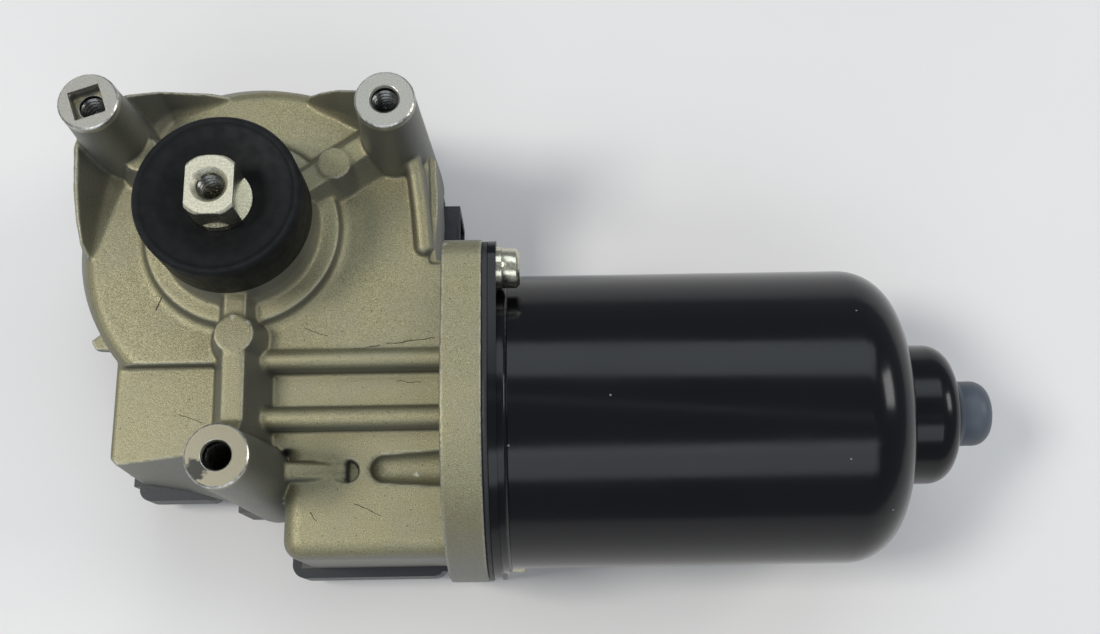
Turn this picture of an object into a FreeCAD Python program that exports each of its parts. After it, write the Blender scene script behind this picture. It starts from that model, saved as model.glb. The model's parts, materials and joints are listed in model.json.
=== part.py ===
import FreeCAD, Part
import math
import os

# Windshield wiper motor with worm gearbox.
# Frame: millimetres, +Z out of the output shaft's end, +X from the gearbox along the motor.
# Origin: on the output shaft's axis, in the plane of the three mounting posts' faces.
# Heights below are stated above the plane that the motor lies on, and z_at turns them into Z.

# --- mounting posts and output shaft ---
FACE_HEIGHT = 65.2
POSTS = [(-26.9, 20.4), (32.6, 19.9), (2.8, -51.5)]
POST_R = 6.1
POST_FOOT_R = [8.6, 8.4, 7.6]
POST_FOOT_SHIFT = [(0.6, -0.4), (-0.4, -0.4), (1.6, 0.6)]
POST_FOOT_HEIGHT = 20.0
POST_THREAD_R = 2.7
POST_THREAD_DEPTHS = [17.0, 16.6, 16.2]
POST_MOUTH_DEPTHS = [0.5, 0.7, 0.9]
KEY_SIDE = 6.4
KEY_DEPTH = 3.0
KEY_TURN = 19.0
DRILL_POINT = 1.5
SHAFT_R = 6.5
SHAFT_BOTTOM = 22.5
SHAFT_SHOULDER = 62.6
SHAFT_TOP = 70.8
SHAFT_FLATS = (9.4, 12.0)
SHAFT_THREAD_DEPTH = 14.6
SHAFT_MOUTH_R = 3.7

# --- worm gear ---
CENTRE_DISTANCE = 39.5
MODULE = 1.0
WHEEL_TEETH = 68
WHEEL_PITCH_R = MODULE * WHEEL_TEETH / 2.0
WORM_PITCH_R = CENTRE_DISTANCE - WHEEL_PITCH_R
ADDENDUM = 0.8 * MODULE
DEDENDUM = 1.0 * MODULE
FLANK_ANGLE = math.radians(20.0)
FLANK_GAP = 0.06
WHEEL_FACE = 6.5
WORM_TURNS = 8
WORM_CORE_R = WORM_PITCH_R - DEDENDUM
WORM_HALF = 14.5
GEAR_GAP = 0.3

# --- motor ---
CAN_R = 31.0
CAN_WALL = 1.8
CAN_AXIS_HEIGHT = CAN_R
CAN_AXIS_Y = -CENTRE_DISTANCE
FLANGE_X = 43.8
FLANGE_THICK = 8.0
FLANGE_R = 33.6
SEAL_THICK = 1.2
CAN_FLANGE_THICK = 1.6
CAN_END_X = 137.2
CAN_CORNER_R = 11.0
NOSE_R = 14.8
NOSE_END_X = 149.6
NOSE_CORNER_R = 5.0
NECK_R = 8.3
NECK_LENGTH = 2.2
TIP_R = 6.9
TIP_END_X = 158.4
TIP_CORNER_R = 3.6
FOOT_CORNER_R = 0.9
BEAD_R = 31.9
CAN_HEAD_R = 4.0
CAN_HEAD_HEIGHT = 3.6
CAN_WASHER_R = 4.3
CAN_WASHER_THICK = 1.0
EAR_RADIUS = 36.6
EAR_ANGLE = 44.5
EAR_LOBE_R = 5.8
CAN_SCREW_R = 2.4
CAN_SCREW_HOLE_R = 2.55
ROTOR_SHAFT_R = 4.0
JOURNAL_R = 3.0
RUNNING_GAP = 0.03
ROTOR_END_X = TIP_END_X - 5.8
REAR_BALL_R = 1.7
REAR_BUSH_R = 8.8
REAR_BUSH_X = NOSE_END_X - 8.4
REAR_BUSH_LENGTH = 5.6
ROTOR_R = 22.6
MAGNET_IN_R = 23.4
STACK_START_X = 82.0
STACK_LENGTH = 40.0
SLOTS = 12
COMMUTATOR_R = 10.5
COMMUTATOR_X = 60.0
COMMUTATOR_LENGTH = 13.0

# --- gear housing casting ---
RIM_HEIGHT = 14.5
PLATEAU = 42.0
BLOCK_TOP = 39.0
FLOOR_TOP = 38.3
CASE_R = 37.4
CASE_STAGES = [(0.0, RIM_HEIGHT, CASE_R), (0.0, 34.2, CASE_R), (3.1, 39.6, 37.6), (3.1, 41.2, 36.4),
               (3.1, PLATEAU, 34.8)]
EAST_RIB_R = 1.85
CAVITY_R = WHEEL_PITCH_R + ADDENDUM + GEAR_GAP
CAVITY_TOP = 34.9
CAVITY_CORE_R = 29.0
CAVITY_CORE_TOP = 38.6
STEP_Y = -28.4
BLOCK_LEFT_X = -27.8
BLOCK_SOUTH_Y = -48.6
BLOCK_FOOT = [(-27.8, -24.0), (-27.8, -47.0), (-26.6, -49.4), (-16.5, -51.0), (-3.0, -55.0), (4.0, -55.0),
              (4.0, -24.0)]
BLOCK_CREST = [(-26.3, -24.0), (-26.3, -47.2), (-24.6, -49.0), (-11.6, -47.4), (-1.0, -45.8), (4.0, -45.8),
               (4.0, -24.0)]
BOX_LEFT_X = 9.6
BOX_SOUTH_Y = -68.5
BOX_NORTH_Y = -7.2
EAST_X = 41.3
TUNNEL_R = WORM_PITCH_R + ADDENDUM + GEAR_GAP
BUSH_R = 6.5
SPOKE_TOP = 48.2
SPOKE_WIDTH = 4.4
SPOKE_SUNK = 4.0
FIN_FOOT = 33.0
FIN_WALL_R = 37.2
BOSS_TOP = 55.4
BOSS_TOP_R = 13.4
BOSS_FOOT_R = 15.8
BEARING_R = 8.0

# --- splash cap, cover and connector ---
CAP_R = 16.7
CAP_BOTTOM = 53.5
CAP_TOP = 65.7
CAP_WALL = 1.9
COVER_WALL = 2.2
COVER_LIP = 2.3
GASKET_THICK = 0.8
SOCKET_LOW = (38.9, -1.0, 2.0)
SOCKET_HIGH = (44.6, 14.5, 19.5)
SOCKET_WALL = 1.6
SOCKET_WALL_X = 37.9
PIN_PLACES = [(y, height) for y in (2.4, 6.75, 11.1) for height in (7.0, 13.4)]
PIN_WIDTH = 2.8
PIN_THICK = 0.8

WHEEL_MID = CAN_AXIS_HEIGHT
SEAL_X = FLANGE_X + FLANGE_THICK
CAN_FLANGE_X = SEAL_X + SEAL_THICK
CAN_WALL_X = CAN_FLANGE_X + CAN_FLANGE_THICK
BRUSH_ANGLES = (0, 180, 305)
BRUSH_LOW_X = CAN_WALL_X + 4.0
BRUSH_LENGTH_X = 7.0
BRUSH_WIDTH = 5.0
V = FreeCAD.Vector

# Sail-shaped webs beside the posts: crest x, crest y, crest height, foot x, foot y at each station.
FINS = [
    [(-30.6, 20.6, 57.0, -24.0, 16.0), (-33.6, 15.8, 54.0, -25.4, 13.4), (-34.5, 8.3, 50.0, -27.3, 8.6),
     (-34.5, 2.0, 47.0, -29.2, 1.8), (-33.9, -2.6, 44.8, -30.8, -3.2), (-33.0, -5.0, 42.6, -31.8, -5.2)],
    [(-26.2, 24.0, 57.0, -20.0, 19.6), (-23.2, 27.0, 55.0, -19.0, 22.4), (-17.9, 30.1, 50.0, -16.6, 26.6),
     (-13.6, 31.2, 47.0, -12.6, 27.6), (-8.6, 32.0, 44.6, -8.2, 28.9), (-4.6, 32.0, 42.6, -4.5, 30.8)],
    [(29.6, 25.2, 57.0, 27.0, 20.0), (25.4, 27.4, 54.6, 24.0, 23.4), (20.6, 29.9, 50.0, 18.6, 26.2),
     (16.2, 30.9, 46.6, 14.9, 27.8), (12.9, 31.3, 43.6, 12.3, 29.8)],
]
RIM_TAB = [(-34.0, -13.0), (-38.6, -15.2), (-40.2, -16.6), (-39.0, -18.6), (-34.0, -19.0)]


# ---------------------------------------------------------------- helpers
def z_at(height):
    """Z in the part's frame of a height above the plane that the motor lies on."""
    return height - FACE_HEIGHT


AXIS_Z = z_at(CAN_AXIS_HEIGHT)


def block(low, high):
    """Box between two corners; the corners' third values are heights."""
    size = [high[i] - low[i] for i in range(3)]
    return Part.makeBox(size[0], size[1], size[2], V(low[0], low[1], z_at(low[2])))


def post(x, y, low, high, radius):
    """Upright cylinder between two heights."""
    return Part.makeCylinder(radius, high - low, V(x, y, z_at(low)))


def ring(low, high, inner, outer, x=0.0, y=0.0):
    """Upright tube between two heights."""
    return post(x, y, low, high, outer).cut(post(x, y, low - 1, high + 1, inner))


def rod(start_x, end_x, radius, angle=0.0, offset=0.0):
    """Cylinder along the motor's axis, or beside it at an angle from +Y towards +Z."""
    centre = on_motor(start_x, offset, angle)
    return Part.makeCylinder(radius, end_x - start_x, centre, V(1, 0, 0))


def tube(start_x, end_x, inner, outer):
    """Tube along the motor's axis."""
    return rod(start_x, end_x, outer).cut(rod(start_x - 1, end_x + 1, inner))


def on_motor(x, radius, angle):
    """Point at a radius from the motor's axis, at an angle from +Y towards +Z."""
    turn = math.radians(angle)
    return V(x, CAN_AXIS_Y + radius * math.cos(turn), AXIS_Z + radius * math.sin(turn))


def outline(corners):
    """Closed wire through corners given as (point, radius); a radius of 0 leaves the corner sharp."""
    edges = []
    last = None
    first = None
    count = len(corners)
    for i in range(count):
        at, radius = corners[i]
        back = (corners[i - 1][0] - at).normalize()
        ahead = (corners[(i + 1) % count][0] - at).normalize()
        half = back.getAngle(ahead) / 2
        reach = radius / math.tan(half)
        start = at + back * reach
        end = at + ahead * reach
        if last is not None and (start - last).Length > 1e-7:
            edges.append(Part.makeLine(last, start))
        if radius > 0:
            middle = at + (back + ahead).normalize() * (radius / math.sin(half) - radius)
            edges.append(Part.Arc(start, middle, end).toShape())
        first = start if first is None else first
        last = end
    edges.append(Part.makeLine(last, first))
    return Part.Wire(edges)


def spin(profile, place, base, axis):
    """Solid of revolution of a profile of two values and an optional corner radius."""
    corners = [(place(item[0], item[1]), item[2] if len(item) > 2 else 0.0) for item in profile]
    return Part.Face(outline(corners)).revolve(base, axis, 360)


def spin_upright(profile):
    """Solid of revolution about the output axis, from (radius, height, corner) items."""
    return spin(profile, lambda r, h: V(r, 0, z_at(h)), V(0, 0, 0), V(0, 0, 1))


def spin_motor(profile):
    """Solid of revolution about the motor's axis, from (x, radius, corner) items."""
    return spin(profile, lambda x, r: on_motor(x, r, 0), V(0, CAN_AXIS_Y, AXIS_Z), V(1, 0, 0))


def prism(corners, low, high):
    """Upright prism over corners given as (x, y), between two heights."""
    points = [V(x, y, z_at(low)) for x, y in corners]
    return Part.Face(Part.makePolygon(points + points[:1])).extrude(V(0, 0, high - low))


def side_prism(corners, start_y, end_y):
    """Prism along Y over corners given as (x, height)."""
    points = [V(x, start_y, z_at(h)) for x, h in corners]
    return Part.Face(Part.makePolygon(points + points[:1])).extrude(V(0, end_y - start_y, 0))


def rounded(shape, radius, wanted):
    """Rounds the edges whose midpoint the test accepts."""
    edges = [e for e in shape.Edges if wanted(e.CenterOfMass)]
    return shape.makeFillet(radius, edges)


def around(shape, count, centre, axis):
    """Copies of a shape, evenly turned about an axis."""
    copies = []
    for i in range(count):
        turned = shape.copy()
        turned.rotate(centre, axis, 360.0 * i / count)
        copies.append(turned)
    return copies


def around_motor(shape, count):
    return around(shape, count, V(0, CAN_AXIS_Y, AXIS_Z), V(1, 0, 0))


def turned_on_motor(shape, angle):
    """The shape turned about the motor's axis, from +Y towards +Z."""
    turned = shape.copy()
    turned.rotate(V(0, CAN_AXIS_Y, AXIS_Z), V(1, 0, 0), angle)
    return turned


# ---------------------------------------------------------------- housing casting
def case_dome():
    """Round gear case whose shoulder leans towards the motor."""
    rings = [Part.Wire(Part.makeCircle(radius, V(shift, -shift, z_at(height))))
             for shift, height, radius in CASE_STAGES]
    return Part.makeLoft(rings, True, True)


def shaft_boss():
    """Stepped boss that carries the output bearings."""
    return spin_upright([
        (0, PLATEAU - 2), (22.6, PLATEAU - 2), (22.6, PLATEAU), (21.3, PLATEAU + 0.5, 0.8),
        (20.5, PLATEAU + 2.4, 0.4), (17.0, PLATEAU + 2.6, 0.8), (BOSS_FOOT_R, PLATEAU + 4.6, 0.8),
        (BOSS_TOP_R, BOSS_TOP - 2.6, 1.0), (10.2, BOSS_TOP - 2.0, 0.6), (10.0, BOSS_TOP), (0, BOSS_TOP)])


def mounting_post(index):
    """Tapered post under one mounting face."""
    x, y = POSTS[index]
    shift_x, shift_y = POST_FOOT_SHIFT[index]
    neck = FACE_HEIGHT - 5.0
    top = Part.Wire(Part.makeCircle(POST_R + 0.15, V(x, y, z_at(neck))))
    foot_at = V(x + shift_x, y + shift_y, z_at(POST_FOOT_HEIGHT))
    foot = Part.Wire(Part.makeCircle(POST_FOOT_R[index], foot_at))
    base_at = V(foot_at.x, foot_at.y, z_at(RIM_HEIGHT))
    base = Part.makeCylinder(POST_FOOT_R[index], POST_FOOT_HEIGHT - RIM_HEIGHT, base_at)
    taper = Part.makeLoft([foot, top], True, True)
    collar = Part.makeCone(POST_R + 0.15, POST_R, FACE_HEIGHT - neck, V(x, y, z_at(neck)))
    return [base, taper, collar]


def spoke(end_x, end_y, foot_half, pad_share, pad_r, pad_foot_r):
    """Raised arm with sloping sides from the boss to a post, with a round ejector pad on it."""
    length = math.hypot(end_x, end_y)
    half = SPOKE_WIDTH / 2
    low = PLATEAU - SPOKE_SUNK
    sunk_half = foot_half + (foot_half - half) * SPOKE_SUNK / (SPOKE_TOP - PLATEAU)
    section = [(-sunk_half, low), (-half, SPOKE_TOP), (half, SPOKE_TOP), (sunk_half, low)]
    arm = Part.makePolygon([V(0, y, z_at(h)) for y, h in section + section[:1]])
    bar = Part.Face(arm).extrude(V(length, 0, 0))
    pad_foot_at = V(length * pad_share, 0, z_at(low))
    pad = Part.makeCone(pad_foot_r, pad_r, SPOKE_TOP + 0.25 - low, pad_foot_at)
    profile = [(length * 0.8, low), (length, low), (length, SPOKE_TOP + 6), (length * 0.86, SPOKE_TOP)]
    rise = side_prism(profile, -half, half)
    turn = math.degrees(math.atan2(end_y, end_x))
    parts = [bar, pad, rise]
    for piece in parts:
        piece.rotate(V(0, 0, 0), V(0, 0, 1), turn)
    return parts


def rim_fin(stations):
    """Sail-shaped web that falls from a post along the case's rim, from (crest x, y, height, foot x, y)."""
    wires = []
    for crest_x, crest_y, height, foot_x, foot_y in stations:
        crest = V(crest_x, crest_y, 0)
        across = V(foot_x, foot_y, 0) - crest
        inwards = V(across).normalize()
        reach = crest.dot(inwards)
        outset = reach + math.sqrt(reach ** 2 - crest.dot(crest) + FIN_WALL_R ** 2)
        low_side = PLATEAU + (height - PLATEAU) * 0.22
        section = [(crest - inwards * outset, FIN_FOOT), (crest, height - 0.5), (crest + across * 0.12, height),
                   (crest + across * 0.62, low_side), (crest + across, PLATEAU - 0.2),
                   (crest + across + inwards, FIN_FOOT)]
        points = [V(at.x, at.y, z_at(h)) for at, h in section]
        wires.append(Part.makePolygon(points + points[:1]))
    return Part.makeLoft(wires, True, True)


def worm_block():
    """Block on the left for the worm's end bearing, with a flank spreading towards the lower post."""
    wires = []
    for points, height in ((BLOCK_FOOT, RIM_HEIGHT), (BLOCK_CREST, BLOCK_TOP)):
        corners = [V(x, y, z_at(height)) for x, y in points]
        wires.append(Part.makePolygon(corners + corners[:1]))
    shape = Part.makeLoft(wires, True, True)

    def wanted(at):
        return abs(at.x - BLOCK_CREST[0][0]) < 0.1 and at.z > z_at(BLOCK_TOP - 0.1)
    return rounded(shape, 1.6, wanted)


def brush_box():
    """Block between the gear case and the flange, with the ribs' floor as its top."""
    low = (BOX_LEFT_X, BOX_SOUTH_Y, RIM_HEIGHT)
    shape = block(low, (FLANGE_X + 1, -45.0, FLOOR_TOP))

    def wanted(at):
        left = abs(at.x - BOX_LEFT_X) < 0.1
        south = abs(at.y - BOX_SOUTH_Y) < 0.1
        top = abs(at.z - z_at(FLOOR_TOP)) < 0.1
        return (left and south) or (top and (left or south))
    south_part = rounded(shape, 4.0, wanted)
    floor = block((0.0, -46.0, RIM_HEIGHT), (FLANGE_X + 1, STEP_Y - 2, FLOOR_TOP))
    deck = block((0.0, STEP_Y, RIM_HEIGHT), (FLANGE_X + 1, BOX_NORTH_Y, PLATEAU))
    return [south_part, floor, deck]


def east_wing():
    """Wall between the right-hand post and the flange."""
    edge = [(20.0, -10.0), (FLANGE_X + 1, -10.0), (FLANGE_X + 1, BOX_NORTH_Y),
            (EAST_X - 0.4, BOX_NORTH_Y + 1.5), (EAST_X, 8.0), (EAST_X - 0.5, 17.0), (28.0, 24.0)]
    wing = prism(edge, RIM_HEIGHT, PLATEAU - 1.5)
    inset = [(20.0, -10.0), (EAST_X - 1.6, -10.0), (EAST_X - 1.8, BOX_NORTH_Y + 1.5),
             (EAST_X - 1.7, 8.0), (EAST_X - 2.0, 16.6), (28.0, 22.5)]
    top = prism(inset, PLATEAU - 2.5, PLATEAU)
    return [wing, top]


def socket_room(side, above):
    """Space left free for the plug socket."""
    low = (SOCKET_WALL_X, SOCKET_LOW[1] - side, -5)
    return block(low, (60, SOCKET_HIGH[1] + side, SOCKET_HIGH[2] + above))


def east_rib():
    """Rounded rib from the right-hand post down the wing's edge."""
    stations = [(35.0, 18.4, 6.4), (36.9, 12.0, 3.0), (37.8, 5.0, 1.4), (38.6, -3.8, 0.4)]
    places = [V(x, y, z_at(PLATEAU + rise)) for x, y, rise in stations]
    pieces = []
    for start, end in zip(places, places[1:]):
        pieces.append(Part.makeCylinder(EAST_RIB_R, (end - start).Length, start, end - start))
        pieces.append(Part.makeSphere(EAST_RIB_R, end))
        along = V(end.x - start.x, end.y - start.y, 0).normalize()
        side = V(along.y, -along.x, 0) * EAST_RIB_R
        foot = V(0, 0, -10)
        ends = []
        for at in (start, end):
            corners = [at - side, at + side, at + side + foot, at - side + foot]
            ends.append(Part.makePolygon(corners + corners[:1]))
        pieces.append(Part.makeLoft(ends, True, True))
    return pieces


def long_rib(y, start_x, crest, radius):
    """Half-round rib along X that runs into the flange."""
    start = V(start_x, y, z_at(crest - radius))
    bar = Part.makeCylinder(radius, FLANGE_X + 0.5 - start_x, start, V(1, 0, 0))
    web = block((start_x, y - radius, FLOOR_TOP - 1), (FLANGE_X + 0.5, y + radius, crest - radius))
    return [bar, web, Part.makeSphere(radius, start)]


def short_rib():
    """Rib that slopes from the lower post down into its pocket."""
    profile = [(2.0, BLOCK_TOP - 5), (22.6, BLOCK_TOP - 5), (22.6, BLOCK_TOP - 1.2),
               (8.0, BLOCK_TOP + 3.0), (2.0, BLOCK_TOP + 3.4)]
    shape = side_prism(profile, -52.7, -48.8)
    return rounded(shape, 1.4, lambda at: at.z > z_at(BLOCK_TOP - 1) and 3 < at.x < 22
                   and (abs(at.y + 52.7) < 0.1 or abs(at.y + 48.8) < 0.1))


def pocket(start_x, end_x, low_y, high_y, floor, round_start, round_end):
    """Slot sunk in the brush box's top, with round ends where asked."""
    radius = (high_y - low_y) / 2
    middle = (high_y + low_y) / 2
    first = start_x + radius if round_start else start_x
    last = end_x - radius if round_end else end_x
    parts = [block((first, low_y, floor), (last, high_y, PLATEAU + 2))]
    if round_start:
        parts.append(post(first, middle, floor, PLATEAU + 2, radius))
    if round_end:
        parts.append(post(last, middle, floor, PLATEAU + 2, radius))
    return parts


def scoop():
    """Tapered trough beside the flange, deepest at its round inner end."""
    start = V(30.4, -50.4, z_at(FLOOR_TOP + 0.4))
    length = FLANGE_X - start.x
    trough = Part.makeCone(2.9, 3.9, length, start, V(1, 0, 0.03))
    return trough.fuse(Part.makeSphere(2.9, start))


def ear_shape(start_x, end_x, disc_r, lobe_r):
    """Round flange with two screw ears, level with the rest plane at its foot."""
    shape = rod(start_x, end_x, disc_r)
    tangent = math.acos((disc_r - lobe_r) / EAR_RADIUS)
    along = math.cos(tangent)
    across = math.sin(tangent)
    corners = [(0, 0), (disc_r * along, disc_r * across), (EAR_RADIUS + lobe_r * along, lobe_r * across),
               (EAR_RADIUS + lobe_r * along, -lobe_r * across), (disc_r * along, -disc_r * across)]
    points = [V(start_x, CAN_AXIS_Y + out, AXIS_Z + side) for out, side in corners]
    bridge = Part.Face(Part.makePolygon(points + points[:1])).extrude(V(end_x - start_x, 0, 0))
    for side in (0, 180):
        lobe = rod(start_x, end_x, lobe_r, EAR_ANGLE + side, EAR_RADIUS)
        shape = shape.fuse([lobe, turned_on_motor(bridge, EAR_ANGLE + side)])
    floor = block((start_x - 1, -120, -30), (end_x + 1, 40, 0.3))
    return shape.cut(floor).removeSplitter()


def screw_holes(start_x, end_x, radius):
    """The two flange screws' holes."""
    return [rod(start_x, end_x, radius, EAR_ANGLE + side, EAR_RADIUS) for side in (0, 180)]


def blind_hole(x, y, top, wall_top, bottom, mouth_r):
    """Drilled and tapped blind hole with a countersunk mouth and a drill point, between heights."""
    wall = post(x, y, bottom, wall_top, POST_THREAD_R)
    mouth = Part.makeCone(POST_THREAD_R, mouth_r, top - wall_top, V(x, y, z_at(wall_top)))
    point = Part.makeCone(0.0, POST_THREAD_R, DRILL_POINT, V(x, y, z_at(bottom - DRILL_POINT)))
    return wall.fuse([mouth, point])


def post_bore(index):
    """Thread hole of one post; the depths differ a little, as hand-set taps leave them."""
    x, y = POSTS[index]
    wall_top = FACE_HEIGHT - POST_MOUTH_DEPTHS[index]
    bottom = FACE_HEIGHT - POST_THREAD_DEPTHS[index]
    return blind_hole(x, y, FACE_HEIGHT, wall_top, bottom, POST_THREAD_R + 0.55)


def key_recess():
    """Square recess over the left-hand post's thread."""
    x, y = POSTS[0]
    corner = V(-KEY_SIDE / 2 - 0.2, -KEY_SIDE / 2 - 0.1, -KEY_DEPTH)
    recess = Part.makeBox(KEY_SIDE, KEY_SIDE, KEY_DEPTH + 1, corner)
    recess.rotate(V(0, 0, 0), V(0, 0, 1), KEY_TURN)
    recess.translate(V(x, y, 0))
    return rounded(recess, 0.6, lambda at: abs(at.z - (1 - KEY_DEPTH) / 2) < 0.1)


def cover_screw_places():
    """Where the rear cover's screws sit."""
    ring_r = CASE_R + 0.4
    round_ones = [(ring_r * math.cos(math.radians(a)), ring_r * math.sin(math.radians(a)))
                  for a in (60, 118, 172)]
    return round_ones + [(-23.2, -44.6), (14.0, -63.6), (38.6, -63.6), (38.0, -6.4)]


def gear_housing():
    """Die-cast gear housing with its posts, bearing boss, worm tunnel and motor flange."""
    case = case_dome()
    case = case.cut([block((-60, -90, BLOCK_TOP - 0.5), (0, STEP_Y, 60)),
                     block((-1, -90, FLOOR_TOP - 0.5), (60, STEP_Y, 60))])
    lumps = [shaft_boss(), worm_block()]
    lumps += brush_box() + east_wing() + east_rib()
    for index in range(len(POSTS)):
        lumps += mounting_post(index)
    lumps += spoke(-25.5, 19.4, 4.6, 0.83, 3.9, 7.4)
    lumps += spoke(30.6, 20.6, 6.0, 0.65, 3.5, 7.6)
    lumps += spoke(1.0, -48.5, 4.7, 0.49, 4.0, 7.2)
    for stations in FINS:
        lumps.append(rim_fin(stations))
    lumps += long_rib(-27.7, 4.8, 43.0, 2.4)
    lumps += long_rib(-40.0, 1.0, 42.5, 2.4)
    for x, y in cover_screw_places():
        lumps.append(post(x, y, RIM_HEIGHT, RIM_HEIGHT + 12, 4.0))
    lumps.append(prism(RIM_TAB, RIM_HEIGHT, RIM_HEIGHT + 2.5))
    lumps.append(ear_shape(FLANGE_X, SEAL_X, FLANGE_R, EAR_LOBE_R))
    body = case.fuse(lumps)
    cuts = pocket(12.0, 25.2, -53.0, -48.4, FLOOR_TOP - 3.0, False, True)
    cuts.append(scoop())
    body = body.cut(cuts)
    body = body.fuse([short_rib()])
    cuts = [post(0, 0, 0, CAVITY_TOP, CAVITY_R), post(0, 0, 0, CAVITY_CORE_TOP, CAVITY_CORE_R)]
    cuts.append(post(0, 0, 0, BOSS_TOP + 1, BEARING_R))
    cuts.append(rod(-16.5, 30.0, TUNNEL_R))
    cuts.append(rod(-26.4, 0.0, JOURNAL_R + 2.2))
    cuts.append(rod(20.0, FLANGE_X + 3, BUSH_R))
    cuts.append(rod(FLANGE_X + 1.2, SEAL_X + 1, 10.0))
    cuts.append(rod(FLANGE_X + 2.4, SEAL_X + 1, 27.6))
    cuts.append(block((13.0, BOX_SOUTH_Y + 2.4, 0), (FLANGE_X - 1.8, -49.0, 33.2)))
    cuts.append(block((BLOCK_LEFT_X + 2.4, -46.2, 0), (-6.0, -34.0, 23.4)))
    cuts.append(block((EAST_X - 2.9, -25.0, 0), (FLANGE_X - 2.2, -9.5, 36.0)))
    cuts += screw_holes(FLANGE_X - 4, SEAL_X + 1, CAN_SCREW_HOLE_R)
    for index in range(len(POSTS)):
        cuts.append(post_bore(index))
    cuts.append(key_recess())
    cuts.append(socket_room(1.0, 1.2))
    for x, y in cover_screw_places():
        cuts.append(post(x, y, 0, RIM_HEIGHT + 9, 1.75))
    cuts.append(block((-60, -90, -5), (FLANGE_X - 0.01, 60, RIM_HEIGHT)))
    return body.cut(cuts).removeSplitter()


# ---------------------------------------------------------------- output side
def output_shaft():
    """Output shaft with a double-D crank seat and a threaded end."""
    body = post(0, 0, SHAFT_BOTTOM, SHAFT_TOP, SHAFT_R)
    rim = body.Edges
    body = body.makeChamfer(0.5, [e for e in rim if e.CenterOfMass.z > z_at(SHAFT_TOP) - 0.1])
    half_x, half_y = (across / 2 for across in SHAFT_FLATS)
    cuts = []
    for low, high in ((-20, -half_x), (half_x, 20)):
        cuts.append(block((low, -20, SHAFT_SHOULDER), (high, 20, SHAFT_TOP + 5)))
    for low, high in ((-20, -half_y), (half_y, 20)):
        cuts.append(block((-20, low, SHAFT_SHOULDER + 1.5), (20, high, SHAFT_TOP + 5)))
    cuts.append(blind_hole(0, 0, SHAFT_TOP, SHAFT_TOP - 1.0, SHAFT_TOP - SHAFT_THREAD_DEPTH, SHAFT_MOUTH_R))
    cuts.append(ring(57.0, 58.2, SHAFT_R - 0.6, SHAFT_R + 2))
    return body.cut(cuts)


def splash_cap():
    """Dished cap pressed on the shaft over the bearing boss."""
    inner = CAP_R - CAP_WALL
    return spin_upright([
        (SHAFT_R, 58.9), (8.6, 58.9), (8.8, 60.0), (inner - 0.8, 62.4), (inner, 61.6), (inner, CAP_BOTTOM),
        (CAP_R, CAP_BOTTOM), (CAP_R, CAP_TOP - 0.7), (CAP_R - 0.6, CAP_TOP),
        (CAP_R - 1.4, CAP_TOP - 0.1), (CAP_R - 1.8, CAP_TOP - 0.5), (12.4, 64.6, 4.0), (8.6, 62.9, 2.0),
        (7.4, 62.3), (SHAFT_R, 62.0)])


def shaft_circlip():
    """Spring clip in the shaft's groove."""
    clip = ring(57.15, 58.05, SHAFT_R - 0.55, SHAFT_R + 2.2)
    gap = block((-1.6, 3, 56), (1.6, 12, 59))
    return clip.cut(gap)


def thrust_shims():
    """Two washers between the clip and the boss."""
    lower = ring(BOSS_TOP + 0.35, BOSS_TOP + 0.85, SHAFT_R + RUNNING_GAP, 9.4)
    upper = ring(BOSS_TOP + 0.95, BOSS_TOP + 1.55, SHAFT_R + RUNNING_GAP, 9.0)
    return Part.makeCompound([lower, upper])


def output_bush(low, high):
    """Sintered bush for the output shaft."""
    return ring(low, high, SHAFT_R + RUNNING_GAP, BEARING_R)


def shaft_seal():
    """Lip ring between the two output bushes."""
    return ring(47.2, 49.6, SHAFT_R + 0.05, BEARING_R)


def tooth_outline(turn):
    """The wheel's toothed outline at the wheel's underside, turned by an angle."""
    points = []
    half_pitch = math.pi * MODULE / 4 - FLANK_GAP
    tip_half = half_pitch - ADDENDUM * math.tan(FLANK_ANGLE)
    root_half = half_pitch + DEDENDUM * math.tan(FLANK_ANGLE)
    root_r = WHEEL_PITCH_R - DEDENDUM
    tip_r = WHEEL_PITCH_R + ADDENDUM
    for i in range(WHEEL_TEETH):
        middle = math.radians(-90) + 2 * math.pi * (i + 0.5) / WHEEL_TEETH + turn
        corners = [(root_r, -root_half), (tip_r, -tip_half), (tip_r, tip_half), (root_r, root_half)]
        for radius, across in corners:
            angle = middle + across / radius
            points.append((radius * math.cos(angle), radius * math.sin(angle)))
    return points


def toothed_disc():
    """Helical toothed disc, twisted to the worm's lead."""
    half = WHEEL_FACE / 2
    lean = MODULE / (2 * WORM_PITCH_R)
    wires = []
    for side in (-1, 1):
        turn = side * half * lean / WHEEL_PITCH_R
        points = [V(x, y, z_at(WHEEL_MID + side * half)) for x, y in tooth_outline(turn)]
        wires.append(Part.makePolygon(points + points[:1]))
    return Part.makeLoft(wires, True, True)


def worm_wheel():
    """Moulded worm wheel with a thin ribbed web."""
    low = WHEEL_MID - WHEEL_FACE / 2
    high = WHEEL_MID + WHEEL_FACE / 2
    body = toothed_disc()
    body = body.cut([ring(WHEEL_MID + 1.2, high + 1, 15.0, 30.4)])
    ribs = around(block((13.0, -1.0, WHEEL_MID), (31.0, 1.0, high - 0.6)), 6, V(0, 0, 0), V(0, 0, 1))
    hub = post(0, 0, low - 1.0, high + 2.6, 14.2)
    body = body.fuse(ribs + [hub])
    return body.cut([post(0, 0, 0, 60, 10.0)]).removeSplitter()


def wheel_hub():
    """Knurled steel hub between the wheel and the shaft."""
    return ring(WHEEL_MID - WHEEL_FACE / 2 - 2.0, WHEEL_MID + WHEEL_FACE / 2 + 2.6, SHAFT_R, 10.0)


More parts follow.
